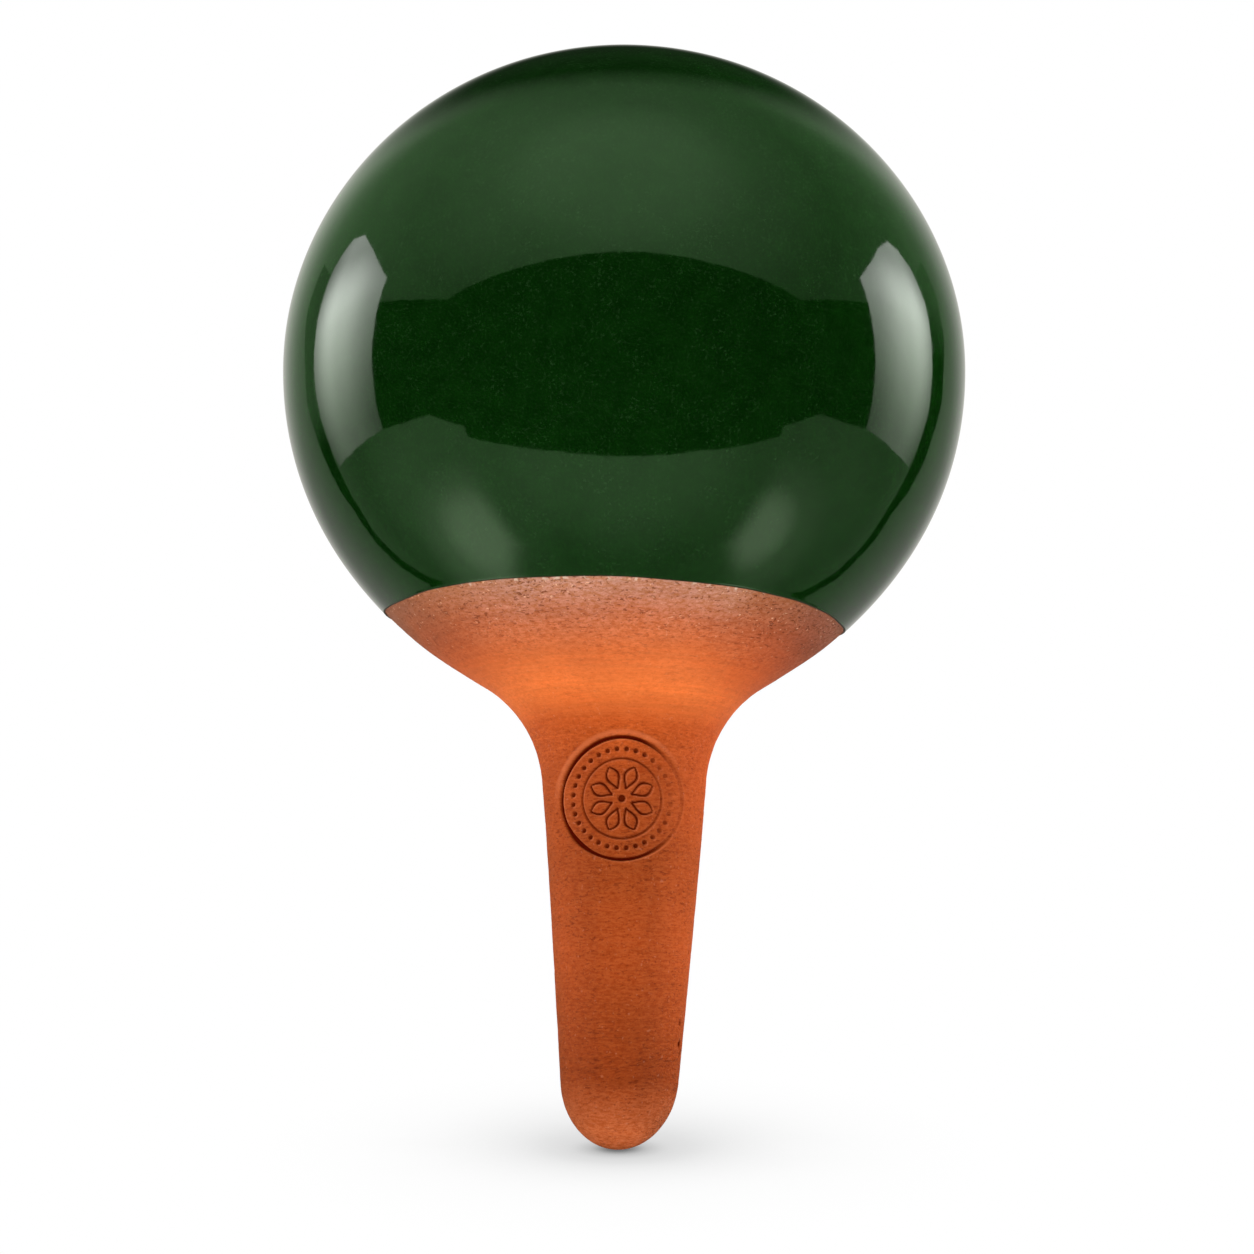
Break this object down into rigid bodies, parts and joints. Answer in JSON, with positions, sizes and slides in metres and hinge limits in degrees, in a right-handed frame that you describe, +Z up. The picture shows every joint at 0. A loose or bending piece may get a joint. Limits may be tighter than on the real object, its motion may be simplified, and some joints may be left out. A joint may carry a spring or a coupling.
{
  "type": "terracotta olla",
  "caption": "Hollow clay watering bulb, glossy glazed above and bare below, on a porous tapered spike for potting soil; water put in at the corked crown seeps out through the spike.",
  "frame": {"origin": "on the axis at the shoulder, where the spike is luted to the bulb and the soil line lies when the spike is fully in", "axes": "+Z up along the axis towards the crown, -Z down the spike; -Y faces the viewer of the picture and +X is to the right"},
  "size_m": [0.12, 0.12, 0.1906],
  "materials": {
    "terracotta": "matte",
    "slip": "matte",
    "glaze": "gloss",
    "cork": "matte"
  },
  "bodies": {
    "pot": {"bulb": "terracotta", "spike": "terracotta", "luting_slip": "slip", "glaze_coat": "glaze"},
    "stopper": {"filler_stopper": "cork"}
  },
  "joints": [
    {"name": "stopper_lift", "type": "slide", "parent": "pot", "child": "stopper", "axis": [0, 0, 1], "range_m": [0, 0.06]}
  ]
}
